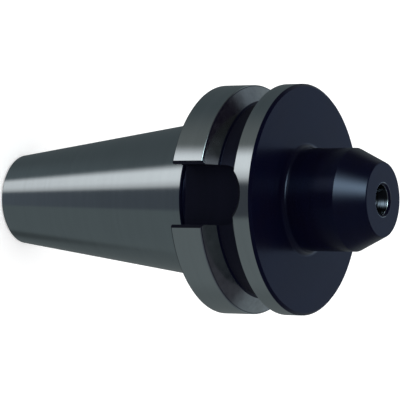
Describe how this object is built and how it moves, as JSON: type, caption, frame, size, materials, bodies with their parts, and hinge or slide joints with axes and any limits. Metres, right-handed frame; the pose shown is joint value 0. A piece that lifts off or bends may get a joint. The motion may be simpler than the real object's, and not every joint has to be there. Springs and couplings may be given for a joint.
{
  "type": "endmill holder",
  "caption": "Steep-taper side-lock holder that clamps an end mill's flatted shank with a set screw, with a gripper groove and driving slots in its flange.",
  "frame": {"origin": "on the axis at the taper's gauge plane, where its diameter is 44.45 mm", "axes": "+Z along the axis from the taper to the nose, +X through one driving slot, -Y out of the clamp screw's hole"},
  "size_m": [0.063, 0.063, 0.1154],
  "materials": {
    "holder_steel": "ground taper, flange rims and bore, black oxide on the turned faces, nose, grooves and slots",
    "black_screw": "black oxide, satin"
  },
  "bodies": {
    "holder": {"holder_body": "holder_steel"},
    "screw": {"clamp_screw": "black_screw"}
  },
  "joints": [
    {"name": "clamp_screw_feed", "type": "slide", "parent": "holder", "child": "screw", "axis": [0, -1, 0], "range_m": [-0.0015, 0.0025]}
  ]
}
